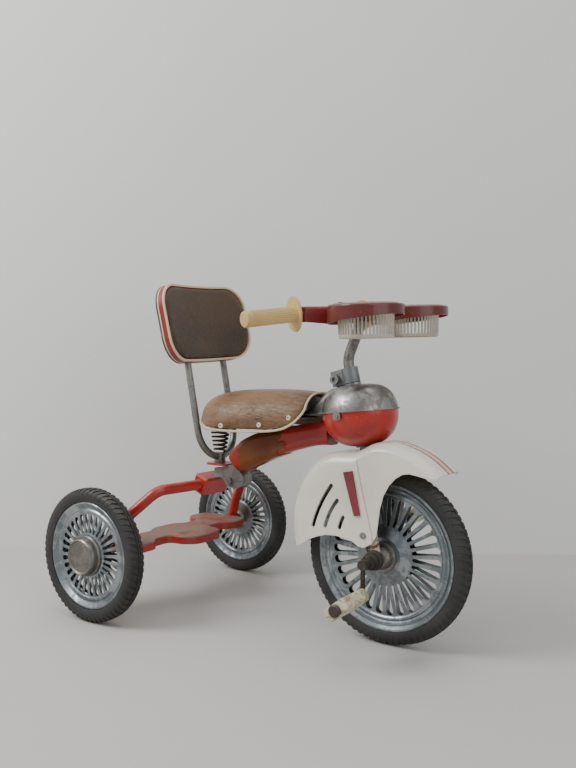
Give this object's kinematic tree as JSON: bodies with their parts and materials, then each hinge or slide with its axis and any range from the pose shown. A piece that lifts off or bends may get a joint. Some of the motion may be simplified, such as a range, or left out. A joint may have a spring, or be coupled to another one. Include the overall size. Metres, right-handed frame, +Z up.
{
  "type": "children's tricycle",
  "caption": "Pedal tricycle for a small child with a pressed steel frame, sprung saddle with backrest, steered front wheel with fender, and small baskets on the handlebar.",
  "frame": {"origin": "on the ground, at the centre of the bounding box's base", "axes": "+X forward along the tricycle, +Y to the rider's left, +Z up"},
  "size_m": [0.6862, 0.4556, 0.5747],
  "materials": {
    "red_paint": "worn gloss red paint",
    "plate_paint": "thin red paint",
    "aged_chrome": "dark aged chrome",
    "cream_enamel": "cream enamel with stripes",
    "reflector": "ribbed red plastic",
    "zinc_disc": "dull grey-blue zinc",
    "tyre": "black rubber",
    "cap_steel": "pitted bright cap",
    "grey_steel": "dull grey steel",
    "rusty_steel": "brown rusty steel",
    "white_fork": "rust-spotted off-white paint",
    "fixings": "dull screws and bolts",
    "brown_vinyl": "worn brown",
    "side_band": "red side band",
    "pale_piping": "pale piping",
    "back_plate": "dark grey",
    "rivets": "pale ringed rivets",
    "clear_plastic": "clear yellowish plastic",
    "cream_grip": "cream plastic",
    "pedal_cap": "dark caps"
  },
  "bodies": {
    "frame": {"beam": "red_paint", "head_bowl": "red_paint", "bowl_cover": "aged_chrome", "cover_tabs": "aged_chrome", "head_tube": "grey_steel", "rear_arch": "red_paint", "arch_block": "red_paint", "beam_bracket": "red_paint", "bracket_bolt": "fixings", "spring_plate": "plate_paint", "step_plate": "red_paint", "axle_straps": "plate_paint", "rear_axle": "rusty_steel", "back_tube": "grey_steel", "tube_clamp": "grey_steel", "back_face": "brown_vinyl", "back_pad": "side_band", "back_piping": "pale_piping", "back_screws": "fixings", "back_shell": "back_plate", "hinge_ears": "grey_steel", "seat_spring": "rusty_steel"},
    "steering": {"fork": "white_fork", "front_fender": "cream_enamel", "fender_reflectors": "reflector", "fender_bolts": "fixings", "axle_housings": "rusty_steel", "stem_collar": "grey_steel", "collar_bolt": "fixings", "stem_tube": "grey_steel", "handlebar": "red_paint", "grip_left": "cream_grip", "grip_right": "cream_grip", "basket_left": "clear_plastic", "basket_right": "clear_plastic", "bar_clips": "plate_paint"},
    "front_wheel": {"front_tyre": "tyre", "front_disc_left": "zinc_disc", "front_disc_right": "zinc_disc", "front_hub": "rusty_steel", "front_axle": "rusty_steel"},
    "pedal_right": {"pedal_right": "cream_grip", "pedal_right_cap": "pedal_cap"},
    "pedal_left": {"pedal_left": "cream_grip", "pedal_left_cap": "pedal_cap"},
    "seat": {"saddle_cover": "brown_vinyl", "saddle_piping": "pale_piping", "saddle_rivets": "rivets", "saddle_pan": "grey_steel", "hinge_arm": "grey_steel"},
    "rear_wheel_right": {"rear_right_tyre": "tyre", "rear_right_disc_outer": "zinc_disc", "rear_right_disc_inner": "zinc_disc", "rear_right_hub": "rusty_steel", "rear_right_cap": "cap_steel"},
    "rear_wheel_left": {"rear_left_tyre": "tyre", "rear_left_disc_outer": "zinc_disc", "rear_left_disc_inner": "zinc_disc", "rear_left_hub": "rusty_steel", "rear_left_cap": "cap_steel"}
  },
  "joints": [
    {"name": "steering", "type": "hinge", "parent": "frame", "child": "steering", "pos_m": [0.207, 0, 0.1362], "axis": [-0.2409, 0, 0.9705], "range_deg": [-60, 60]},
    {"name": "front_wheel_spin", "type": "hinge", "parent": "steering", "child": "front_wheel", "pos_m": [0.207, 0, 0.1362], "axis": [0, 1, 0], "continuous": true},
    {"name": "pedal_right_spin", "type": "hinge", "parent": "front_wheel", "child": "pedal_right", "pos_m": [0.207, -0.12, 0.0892], "axis": [0, 1, 0], "continuous": true},
    {"name": "pedal_left_spin", "type": "hinge", "parent": "front_wheel", "child": "pedal_left", "pos_m": [0.207, 0.12, 0.1832], "axis": [0, 1, 0], "continuous": true},
    {"name": "rear_right_spin", "type": "hinge", "parent": "frame", "child": "rear_wheel_right", "pos_m": [-0.233, -0.1994, 0.11], "axis": [0, 1, 0], "continuous": true},
    {"name": "rear_left_spin", "type": "hinge", "parent": "frame", "child": "rear_wheel_left", "pos_m": [-0.233, 0.1994, 0.11], "axis": [0, 1, 0], "continuous": true},
    {"name": "seat_bounce", "type": "hinge", "parent": "frame", "child": "seat", "pos_m": [0.076, 0, 0.3705], "axis": [0, -1, 0], "range_deg": [0, 4], "stiffness_Nm_per_rad": 60, "springref_deg": -2.29, "deforming": ["seat_spring"]}
  ]
}
